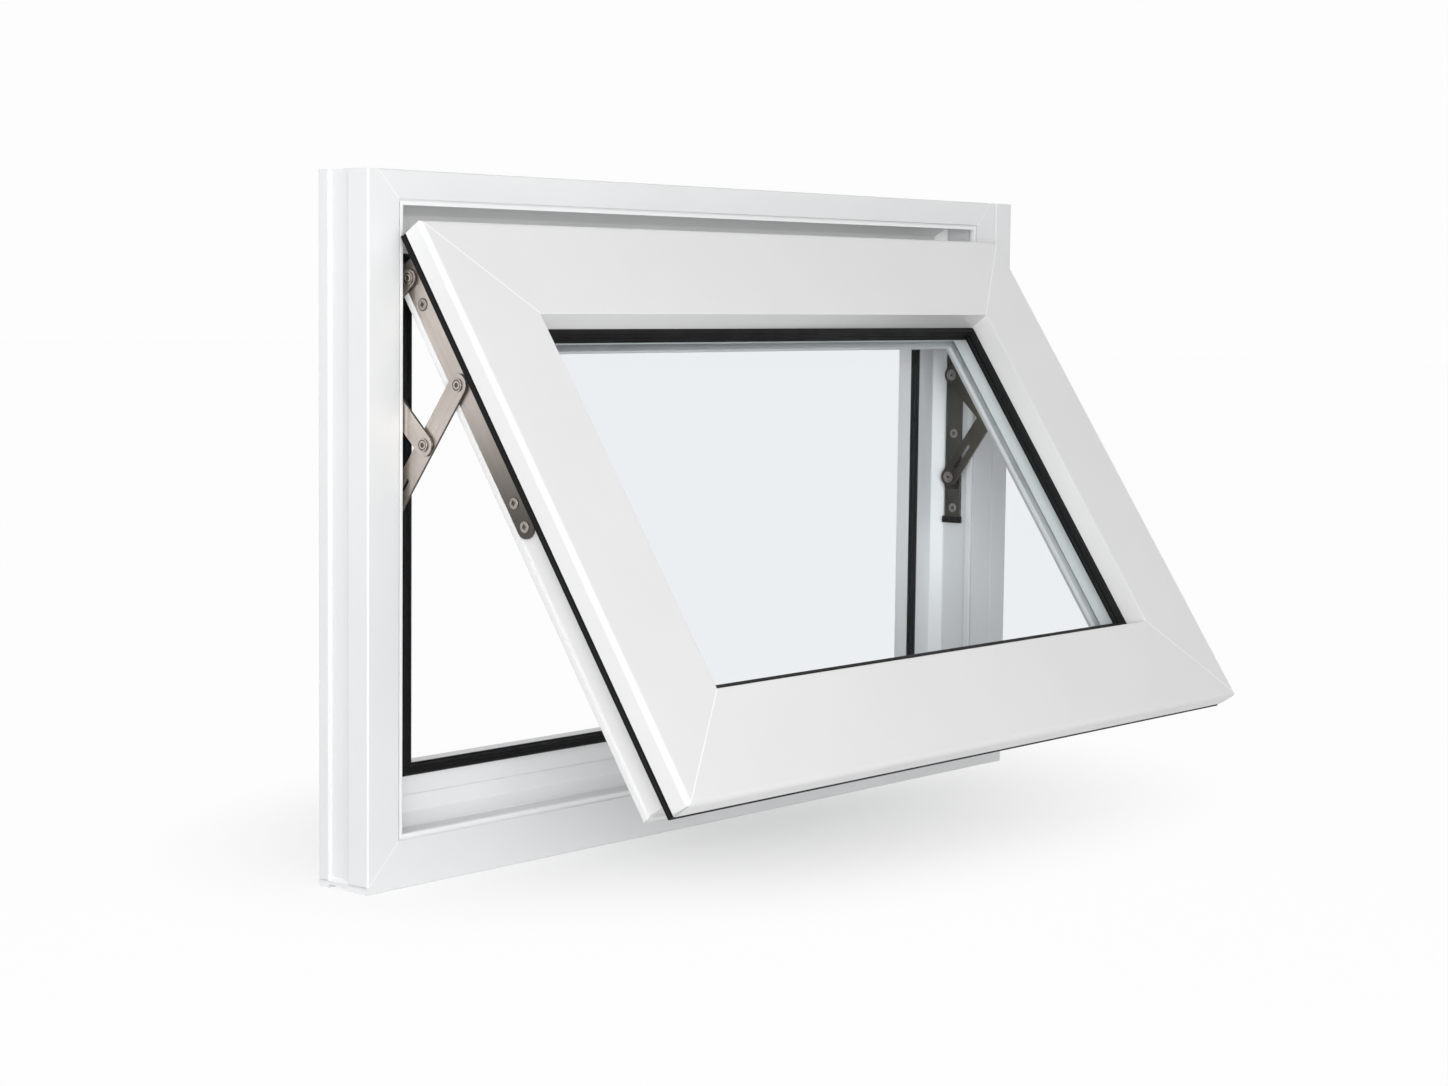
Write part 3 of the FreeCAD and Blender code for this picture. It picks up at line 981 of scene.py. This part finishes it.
@dataclass
class OuterFrame:
    """The fixed frame with its gasket and the extension profile."""

    window: Window
    depth: float = 60.0
    foot: float = 24.0
    step_end: float = 31.0
    step_top: float = 2.2
    channel: float = 3.0
    rear_start: float = 48.0
    upstand: float = 44.0
    upstand_rise: float = 55.0
    recess: float = 47.0
    recess_rise: float = 26.0
    recess_slant: float = 1.5
    slope_start: float = 36.0
    slope_rise: float = 10.0
    floor_start: float = 7.0
    lip_width: float = 5.0
    lip_depth: float = 6.0
    bead_setback: float = 0.5
    groove_width: float = 1.5
    groove_depth: float = 2.0
    rounding: float = 1.8
    gasket: Sequence[Corner] = (
        (44, 44, .3), (44, 55, .6), (41.6, 55, .5), (41.2, 53.4, .3), (39.4, 52.6, .8), (38.5, 50.2, 1),
        (39.3, 48.6, .4), (38.9, 47.4, .6), (39.6, 45.2, .8), (41.5, 44, .5),
    )
    extension: Sequence[Corner] = (
        (1, .6, .3), (30, .6, 3), (30, 24, .4), (27, 24, .3), (27, 48, .3), (30, 48, .4),
        (30, 60, 1.5), (0, 60, .4), (0, 1.6, .3),
    )

    def section(self, face: float) -> list[Corner]:
        """Section of a member.

        Args:
            face: width of its front face.

        Returns:
            Depth, height and rounding of each corner.
        """
        floor = face + self.window.floor_rise
        top, land, groove = face + self.upstand_rise, face + self.lip_width, face + self.groove_width
        ledge = floor + self.recess_rise
        return [
            (0, 0, self.rounding), (self.foot, 0, .4), (self.foot, self.step_top, .3),
            (self.step_end, self.step_top, .3), (self.step_end, self.channel, .3),
            (self.rear_start, self.channel, .4), (self.rear_start, 0, .4), (self.depth, 0, 1.5),
            (self.depth, top, 1.5), (self.upstand, top, 1.2), (self.upstand, ledge, .5),
            (self.recess, ledge - self.recess_slant, .8), (self.recess, floor + self.slope_rise, 1),
            (self.slope_start, floor, 2), (self.floor_start, floor, .5), (self.lip_depth, land, .8),
            (self.bead_setback, land, .6), (self.bead_setback, groove, .3),
            (self.groove_depth, groove, 0), (self.groove_depth, face, 0), (0, face, .4),
        ]

    def gasket_section(self, face: float) -> list[Corner]:
        """Section of the gasket on the upstand of such a member."""
        return [(depth, face + height, rounding) for depth, height, rounding in self.gasket]

    def ring(self, names: Sequence[str], nodes: Sequence[str], section: Section,
             finish: Finish, slot: str, inner: "Finish | None" = None) -> MitredRing:
        """A ring with the outer size of the frame, at its place.

        Args:
            names: names of the four pieces.
            nodes: CAD nodes that they stand for.
            section: gives the corners for the width of a front face.
            finish: finish of the members.
            slot: the record's material slot.
            inner: lighter finish of what lies inward of the front face, as painted light, if there is
                one.

        Returns:
            The ring.
        """
        size = self.window
        made = MitredRing(names, nodes, section, size.width, size.height, size.frame_place,
                          finish, slot, size.faces, inner=inner)
        made.build()
        return made

    def build(self) -> None:
        """Builds the frame's members, seams, gaskets and extension."""
        sides = ("sill", "head", "left_jamb", "right_jamb")
        profiles = self.ring([side + "_profile" for side in sides], ["frame_" + side for side in sides],
                             self.section, FRAME_WHITE, "frame_white", LIT_INNER_WHITE)
        WeldSeams("frame", profiles, 0.7, 0.06).build()
        edges = ("bottom", "top", "left", "right")
        self.ring(["upstand_gasket_" + edge for edge in edges],
                  ["frame_gasket_" + edge for edge in edges],
                  self.gasket_section, GASKET, "black_gasket")
        self.build_extension()

    def build_extension(self) -> None:
        """Builds the extension profile upright beside the right jamb."""
        size = self.window
        bench = Bench("extension_profile_piece").outline(self.extension).extrude((size.height, 0, 0))
        axes = Matrix(((0, 1, 0, 0), (0, 0, 1, 0), (1, 0, 0, 0), (0, 0, 0, 1)))
        bench.put(shifted(size.width / 2, size.front, 0) @ axes)
        bench.dress(FRAME_WHITE).deliver("frame_white", ["extension_profile"])


@dataclass
class Sash:
    """The open sash: profiles, seals, glazing and beads."""

    window: Window
    section: Sequence[Corner] = (
        (0, 0, 5), (20, 0, 1), (20, 16, .4), (56, 16, .8), (56, 14, .8), (62, 14, .8), (62, 84, .6),
        (22, 84, .4), (22, 96, .4), (18, 96, .4), (0, 92, 1),
    )
    seal: Sequence[Corner] = (
        (20, 1.3, .3), (22.8, .9, .3), (23.4, 1.5, .3), (24, .8, .3), (26, .5, .5), (27, 1.4, .6),
        (26.5, 3.6, .5), (27, 5.8, .7), (25.6, 8, .6), (20, 8, .3),
    )
    glazing: Sequence[Corner] = (
        (18, 96, .3), (27, 96, .3), (27, 105, .5), (24.2, 104.2, .6), (23.4, 102.6, .4),
        (21.4, 102.8, .6), (20.4, 101, .4), (18.6, 100.6, .6),
    )
    bead: Sequence[Corner] = (
        (51, 84, .3), (62, 84, .5), (62, 92, 1), (55, 99, 1.2), (51, 99, .5),
    )

    def ring(self, names: Sequence[str], nodes: Sequence[str], section: Sequence[Corner],
             finish: Finish, slot: str, tip: float = 0.0) -> MitredRing:
        """A ring with the outer size of the sash, at its place.

        Args:
            names: names of the four pieces.
            nodes: CAD nodes that they stand for, one each or one for all.
            section: corners of the section.
            finish: finish of the members.
            slot: the record's material slot.
            tip: rounding of the outer corners, if they are rounded.

        Returns:
            The ring.
        """
        size = self.window
        made = MitredRing(names, nodes, lambda _: section, size.sash_width, size.sash_height,
                          size.sash_place, finish, slot, tip=tip)
        made.build()
        return made

    def build(self) -> None:
        """Builds all the rings and dresses the glass."""
        edges = ("bottom", "top", "left", "right")
        parts = ("bottom_rail", "top_rail", "left_stile", "right_stile")
        profiles = self.ring([part + "_profile" for part in parts], ["sash_" + part for part in parts],
                             self.section, SASH_WHITE, "sash_white", 3.5)
        WeldSeams("sash", profiles, 1.5, 0.04).build()
        self.ring(["rebate_seal_" + edge for edge in edges], ["sash_seal_" + edge for edge in edges],
                  self.seal, GASKET, "black_gasket")
        self.ring(["bead_profile_" + edge for edge in edges], ["glazing_bead_" + edge for edge in edges],
                  self.bead, BEAD_WHITE, "bead_white")
        self.ring(["glazing_lip_" + edge for edge in edges], ["glazing_gasket"], self.glazing,
                  GASKET, "black_gasket")
        for node, finish in (("outer_pane", GLASS), ("inner_pane", GLASS), ("glass_spacer", SPACER)):
            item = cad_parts[node]
            item.data.materials.clear()
            item.data.materials.append(finish.material())
            log.info("%s: dressed", node)


# Stays


@dataclass
class Stay:
    """Friction stay on one side, its pieces modelled for the right side."""

    window: Window
    side: Side
    plate: float = 2.5
    washer: float = 0.5
    arm_width: float = 19.0
    link_width: float = 15.0
    bar_width: float = 18.0
    bar_length: float = 262.0
    bar_line: float = 46.0
    bar_top: float = 14.0
    track_width: float = 20.0
    track_height: float = 2.5
    track_length: float = 284.0
    track_drop: float = 48.0
    track_base: float = 1.2
    track_screws: Sequence[float] = (9.0, 88.0, 192.0, 272.0)
    bar_screws: Sequence[float] = (40.0, 230.0, 252.0)
    # Heights of the painted shade on the lower end of the left bar
    bar_painted_shade_heights: tuple[float, float] = (0.305, 0.44)
    stay_line: float = 24.0
    pivot_rise: float = 42.0
    brace_rise: float = 108.0
    link_rise: float = 72.0
    arm_reach: float = 132.0
    link_reach: float = 28.0
    brace_share: float = 0.56
    slot_width: float = 4.0
    slot_start: float = 13.0
    slot_end: float = 41.0
    block_width: float = 14.0
    block_length: float = 26.0
    cap_length: float = 7.0
    cap_height: float = 5.0
    rivet_radius: float = 5.6
    screw_radius: float = 4.8

    def __post_init__(self) -> None:
        """Works out the pivots from the open sash, as depth and height."""
        size = self.window
        line = size.front + self.stay_line
        self.bar_side = size.sash_width / 2 - size.body_inset
        self.floor_side = size.width / 2 - size.faces.side - size.floor_rise
        self.track_bottom = size.height - self.track_drop - self.track_length
        self.foot = (line, self.track_bottom + self.pivot_rise)
        self.brace_head = (line, self.foot[1] + self.brace_rise)
        self.link_foot = (line, self.brace_head[1] + self.link_rise)
        self.arm_top = self.on_bar(self.arm_reach)
        self.link_top = self.on_bar(self.link_reach)
        self.brace_foot = tuple(a + (b - a) * self.brace_share for a, b in zip(self.foot, self.arm_top))
        self.arm_layer = self.bar_side + self.plate + self.washer
        self.brace_layer = self.arm_layer + self.plate + self.washer

    @property
    def track_place(self) -> Matrix:
        """Lower end of the track on the rebate floor."""
        return shifted(self.floor_side, self.foot[0], self.track_bottom)

    def on_bar(self, reach: float) -> tuple[float, float]:
        """Depth and height of a point on the middle of the sash bar."""
        spot = self.window.sash_place @ (Vector((0, self.bar_line, -reach)) * MM) / MM
        return spot.y, spot.z

    def metal(self, heading: float, fade: "tuple[float, float] | None" = None) -> Brushed:
        """Brushed finish of the arms, with its lines along the plate.

        Args:
            heading: angle of the plate from upright in degrees.
            fade: heights in metres between which the steel goes from painted shade to bright.

        Returns:
            The finish.
        """
        steel = STEEL if self.side is Side.LEFT else SHADED_STEEL
        return Brushed(f"brushed_steel_{self.side.label}_{round(heading)}", steel, 0.30, heading, fade)

    @staticmethod
    def facing(head: Bench, out: bool) -> Bench:
        """Leaves a head facing +X, or turns it round to face -X."""
        return head.put(Matrix.Identity(4) if out else Matrix.Diagonal((-1, 1, 1, 1)))

    def rivet(self, out: bool, height: float = 1.2) -> Bench:
        """Rivet head with a raised rim, a turned groove and a dimple in the middle.

        Args:
            out: faces away from the middle of the window.
            height: height of the head in millimetres.

        Returns:
            The head.
        """
        radius = self.rivet_radius
        head = Bench("rivet").barrel(radius, -0.6, height)
        with head.editing():
            head.pick(Pick.FACE, lambda _, normal: normal.x > 0.9)
            head.sunk(radius * 0.20, 0.45)
            head.sunk(radius * 0.15, -0.4)
            head.sunk(radius * 0.28, 0.5)
        head.soften(0.14, 2, 50).dress(RIVET_STEEL)
        # Painted shade: the groove, the dimple and the sides of the head are dark steel
        head.tint(PAINTED_SHADE_STEEL, lambda spot, normal: normal.x < 0.6 or spot.x < (height - 0.3) * MM)
        return self.facing(head, out)

    def screw(self, out: bool, height: float = 0.8) -> Bench:
        """Domed screw head with a cross recess round a hole, in a countersink painted dark as shade.

        Args:
            out: faces away from the middle of the window.
            height: height of the head in millimetres.

        Returns:
            The head.
        """
        radius = self.screw_radius
        head = Bench("screw").barrel(radius, -0.6, height)
        head.bevel(0.55, 3, lambda middle, line: middle.x > height * MM * 0.9 and abs(line.x) < 0.5)
        for turn in (20, 110):
            slot = Bench("recess").block((height - 0.6, -0.6, -2.4), (height + 1, 0.6, 2.4))
            head.carve(slot.put(turned(turn, "X")))
        head.carve(Bench("hole").barrel(1.8, height - 0.7, height + 1, 20))
        head.soften(0.08, 1, 50).dress(SCREW_STEEL)
        # Painted shade: the cross recess, the hole and the sides of the head are dark steel
        head.tint(PAINTED_SHADE_STEEL, lambda spot, normal: normal.x < 0.5 or spot.x < (height - 0.3) * MM)
        # Painted shade: a dark steel disc round the head
        head.join([Bench("countersink").barrel(radius + 0.7, -0.3, 0.12).dress(PAINTED_SHADE_STEEL)])
        return self.facing(head, out)

    def strip(self, name: str, width: float, low: float, high: float, round_top: bool = True) -> Bench:
        """Plate along Z with rounded ends round two pivots.

        Args:
            name: name of the piece.
            width: width of the plate.
            low: height of the lower pivot.
            high: height of the upper pivot, or of the end if that isn't rounded.
            round_top: whether the upper end is rounded.

        Returns:
            The plate.
        """
        half = width / 2
        top = high + (half if round_top else 0)
        bench = Bench(name).block((0, -half, low - half), (self.plate, half, top))
        middle = (low + high) / 2 * MM
        bench.bevel(half, 12, lambda spot, line: abs(line.x) > 0.9 and (round_top or spot.z < middle))
        return bench

    def finish_piece(self, bench: Bench, place: Matrix, slot: str, node: str) -> None:
        """Puts a right-hand piece in place, mirrored for the left stay.

        Args:
            bench: the piece.
            place: its place on the right stay.
            slot: the record's material slot.
            node: CAD node, without the side.
        """
        mirror = Matrix.Diagonal((self.side.value, 1, 1, 1))
        bench.put(mirror @ place)
        bench.take(bench.item)
        bench.deliver(slot, [self.side.label + "_stay_" + node])

    def arm(self, name: str, foot: Sequence[float], head: Sequence[float],
            width: float) -> tuple[Bench, float, float]:
        """Plate from the pivot foot to the pivot head.

        Args:
            name: name of the piece.
            foot: depth and height of the first pivot.
            head: depth and height of the second pivot.
            width: width of the plate.

        Returns:
            The plate, its pivot distance and its heading in degrees.
        """
        reach = math.hypot(head[0] - foot[0], head[1] - foot[1])
        heading = math.degrees(math.atan2(foot[0] - head[0], head[1] - foot[1]))
        return self.strip(self.side.label + "_" + name, width, 0, reach), reach, heading

    def fit(self, bench: Bench, heads: "Sequence[tuple[Bench, float, float]]") -> None:
        """Joins rivet and screw heads to a plate.

        Args:
            bench: the plate.
            heads: each head with its layer and its height on the plate.
        """
        for head, layer, height in heads:
            head.put(shifted(layer, 0, height))
        bench.join([head for head, _, _ in heads])

    def washer_ring(self) -> Bench:
        """Washer that fills the gap between two plates."""
        return Bench("washer").barrel(self.rivet_radius, -0.02, self.washer + 0.02).dress(RIVET_STEEL)

    def polish(self, plate: Bench, heading: float, fade: "tuple[float, float] | None" = None) -> None:
        """Breaks the edges of a plate and dresses it, darker on its edge faces."""
        plate.soften(0.3, 2).dress(self.metal(heading, fade))
        plate.tint(DARK_EDGE_STEEL, lambda _, normal: abs(normal.x) < 0.6)

    def build_arms(self) -> None:
        """Builds the long arm, the brace and the top link."""
        plate, washer = self.plate, self.washer
        arm, reach, heading = self.arm("long_arm", self.foot, self.arm_top, self.arm_width)
        slot = self.strip("slot", self.slot_width, self.slot_start, self.slot_end)
        arm.carve(slot.put(Matrix.Diagonal((3, 1, 1, 1)) @ shifted(-1, 0, 0)))
        self.polish(arm, heading)
        self.fit(arm, [
            (self.rivet(True), plate, reach), (self.washer_ring(), -washer, reach),
            (self.washer_ring(), plate, reach * self.brace_share), (self.rivet(False), 0, 0)])
        place = shifted(self.arm_layer, *self.foot) @ turned(heading, "X")
        self.finish_piece(arm, place, "arm_steel", "long_arm")

        brace, reach, heading = self.arm("brace_arm", self.brace_foot, self.brace_head, self.arm_width)
        self.polish(brace, heading)
        self.fit(brace, [(self.rivet(True), plate, 0), (self.rivet(False), 0, reach)])
        place = shifted(self.brace_layer, *self.brace_foot) @ turned(heading, "X")
        self.finish_piece(brace, place, "arm_steel", "brace_arm")

        link, reach, heading = self.arm("top_link", self.link_top, self.link_foot, self.link_width)
        self.polish(link, heading)
        self.fit(link, [(self.rivet(True), plate, 0), (self.washer_ring(), -washer, 0)])
        place = shifted(self.arm_layer, *self.link_top) @ turned(heading, "X")
        self.finish_piece(link, place, "arm_steel", "top_link")

    def build_bar(self) -> None:
        """Builds the bar that is screwed to the side of the sash."""
        half = self.bar_width / 2
        bar = self.strip(self.side.label + "_sash_bar", self.bar_width, half - self.bar_length, 0, False)
        # Only the left bar gets painted shade on its lower end
        fade = self.bar_painted_shade_heights if self.side is Side.LEFT else None
        self.polish(bar, -self.window.angle, fade)
        self.fit(bar, [(self.screw(True), self.plate, -down) for down in self.bar_screws])
        place = self.window.sash_place @ shifted(self.bar_side, self.bar_line, -self.bar_top)
        self.finish_piece(bar, place, "arm_steel", "sash_bar")

    def build_track(self) -> None:
        """Builds the channel on the jamb with its screws."""
        half, high, base = self.track_width / 2, self.track_height, self.track_base
        track = Bench(self.side.label + "_track").outline((
            (0, -half, .3), (high, -half, .4), (high, base - half, .4), (base, base - half, .3),
            (base, half - base, .3), (high, half - base, .4), (high, half, .4), (0, half, .3)))
        track.extrude((self.track_length, 0, 0))
        track.put(Matrix(((0, -1, 0, 0), (0, 0, 1, 0), (1, 0, 0, 0), (0, 0, 0, 1))))
        with track.editing():
            bpy.ops.mesh.select_all(action="SELECT")
            bpy.ops.mesh.normals_make_consistent(inside=False)
        track.dress(TRACK_STEEL)
        self.fit(track, [(self.screw(False, 0.7), -base, height) for height in self.track_screws])
        self.finish_piece(track, self.track_place, "track_steel", "track")

    def build_cap(self) -> None:
        """Builds the plastic cap on the lower end of the track."""
        half, long, high = self.track_width / 2 + 1, self.cap_length, self.cap_height
        cap = Bench(self.side.label + "_end_cap").block((-high, -half, -long), (0, half, 0))
        cap.bevel(1.6, 4, lambda spot, line: abs(line.y) > 0.9 and spot.x < (1 - high) * MM)
        cap.bevel(0.9, 3, lambda spot, line: abs(line.x) > 0.9 and spot.z < (1 - long) * MM)
        with cap.editing():
            cap.pick(Pick.FACE, lambda spot, normal: normal.x < -0.9)
            bpy.ops.mesh.inset(thickness=1.2 * MM)
            bpy.ops.mesh.extrude_region_move(TRANSFORM_OT_translate={"value": (0.5 * MM, 0, 0)})
        cap.soften(0.25, 2).dress(NYLON)
        self.finish_piece(cap, self.track_place, "cap_black", "end_cap")

    def build_shoes(self) -> None:
        """Builds the blocks between the track and the pivots."""
        base = self.floor_side - self.track_base
        half, reach = self.block_width / 2, self.block_length / 2
        shoes = (("lower_shoe", self.foot, self.arm_layer),
                 ("brace_shoe", self.brace_head, self.brace_layer),
                 ("top_block", self.link_foot, self.arm_layer))
        for name, pivot, layer in shoes:
            near = layer + self.plate
            shoe = Bench(self.side.label + "_" + name)
            shoe.block((0, -half, -reach), (base - near, half, reach))
            shoe.bevel(3.0, 4, lambda spot, line: abs(line.x) > 0.9)
            shoe.soften(0.4, 2).dress(SHOE_STEEL)
            self.finish_piece(shoe, shifted(near, *pivot), "shoe_steel", name)

    def build(self) -> None:
        """Builds every piece of the stay."""
        self.build_track()
        self.build_cap()
        self.build_shoes()
        self.build_bar()
        self.build_arms()


# Studio


SEEN = ("Is Camera Ray", "Is Glossy Ray", "Is Transmission Ray")


@dataclass(frozen=True)
class Lamp:
    """Square soft lamp that faces the window."""

    name: str
    spot: Corner
    size: float
    power: float

    def light(self, aim: Corner) -> None:
        """Adds the lamp.

        Args:
            aim: the point that it faces, in metres.
        """
        data = bpy.data.lights.new(self.name, "AREA")
        data.shape, data.size, data.energy = "SQUARE", self.size, self.power
        item = bpy.data.objects.new(self.name, data)
        bpy.context.scene.collection.objects.link(item)
        item.location = self.spot
        item.rotation_euler = (Vector(aim) - Vector(self.spot)).to_track_quat("-Z", "Y").to_euler()


@dataclass
class Studio:
    """Floor, light and the camera of the photograph, in metres."""

    eye: Corner = (-2.02708, -1.69435, 0.50053)
    yaw: float = 0.87948
    pitch: float = 0.08855
    roll: float = 0.01156
    focal: float = 2796.13
    frame_width: float = 1448.0
    sensor: float = 36.0
    surroundings: float = 0.30
    backdrop: float = 0.983
    floor_white: float = 0.95
    # Middle and spread of the painted shadow round the window, and the floor's glow share at its middle
    # and at its edge
    floor_spot: Corner = (0.04, 0.03, 0.0)
    floor_spread: Corner = (0.68, 0.48, 1.0)
    floor_glow: tuple[float, float] = (0.33, 0.967)
    aim: Corner = (0.0, 0.0, 0.3)
    lamps: Sequence[Lamp] = (
        Lamp("key", (-3.2, -1.0, 2.2), 2.4, 45.0),
        Lamp("front", (-0.6, -3.6, 1.8), 2.2, 15.0),
        Lamp("low", (-2.6, -3.0, 0.5), 2.0, 100.0),
    )

    def camera(self) -> None:
        """Camera at the photograph's place and lens."""
        data = bpy.data.cameras.new("camera")
        data.sensor_fit = "HORIZONTAL"
        data.sensor_width = self.sensor
        data.lens = self.focal / self.frame_width * data.sensor_width
        data.clip_start, data.clip_end = 0.05, 100.0
        data.dof.use_dof = False
        item = bpy.data.objects.new("camera", data)
        bpy.context.scene.collection.objects.link(item)
        ahead = Vector((math.sin(self.yaw) * math.cos(self.pitch),
                        math.cos(self.yaw) * math.cos(self.pitch), -math.sin(self.pitch)))
        right = Vector((math.cos(self.yaw), -math.sin(self.yaw), 0))
        up = right.cross(ahead)
        bank_right = right * math.cos(self.roll) + up * math.sin(self.roll)
        bank_up = up * math.cos(self.roll) - right * math.sin(self.roll)
        axes = Matrix((bank_right, bank_up, -ahead)).transposed()
        item.matrix_world = Matrix.Translation(self.eye) @ axes.to_4x4()
        bpy.context.scene.camera = item

    def world(self) -> None:
        """Pale surroundings: white where they are seen, softer as light."""
        world = bpy.data.worlds.new("studio")
        bpy.context.scene.world = world
        shader = Shader(world)
        level = self.surroundings
        strength = shader.rays(*SEEN) * (1.0 - level) + level
        values = {"Color": (self.backdrop, self.backdrop, self.backdrop, 1), "Strength": strength}
        shader.output(shader.node("ShaderNodeBackground", None, values).outputs[0])

    def floor(self) -> None:
        """Pale floor that keeps the shadow, with a painted shadow round the window that fades into the
        surroundings.
        """
        bench = Bench("floor").primitive("plane", size=40.0, location=(0, 0, 0))
        material = bpy.data.materials.new("pale_floor")
        shader = Shader(material)
        spot = shader.node("ShaderNodeTexCoord").outputs["Object"]
        around = shader.node("ShaderNodeMapping", {"vector_type": "TEXTURE"}, {
            "Vector": spot, "Location": self.floor_spot, "Scale": self.floor_spread})
        reach = shader.node("ShaderNodeVectorMath", {"operation": "LENGTH"}, {0: around.outputs[0]})
        white = self.floor_white
        matt = shader.node("ShaderNodeBsdfDiffuse", None, {"Color": (white, white, white, 1)})
        glow = shader.node("ShaderNodeEmission", None, {"Color": (1, 1, 1, 1), "Strength": 1.0})
        # Painted shadow: less of the floor glows white near the window, so the floor round it is darker
        glowing = Signal(shader, reach.outputs["Value"]).ramp(0.0, 1.0, *self.floor_glow)
        shader.output(shader.mixed(shader.rays(*SEEN) * glowing, matt, glow))
        bench.item.data.materials.append(material)

    def build(self) -> None:
        """Builds the studio."""
        self.camera()
        self.floor()
        self.world()
        for lamp in self.lamps:
            lamp.light(self.aim)
        bpy.context.scene.view_settings.view_transform = "Standard"


def main() -> None:
    """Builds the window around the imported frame, then the studio."""
    window = Window()
    OuterFrame(window).build()
    Sash(window).build()
    for side in Side:
        Stay(window, side).build()
    Studio().build()


if __name__ == "__main__":
    main()
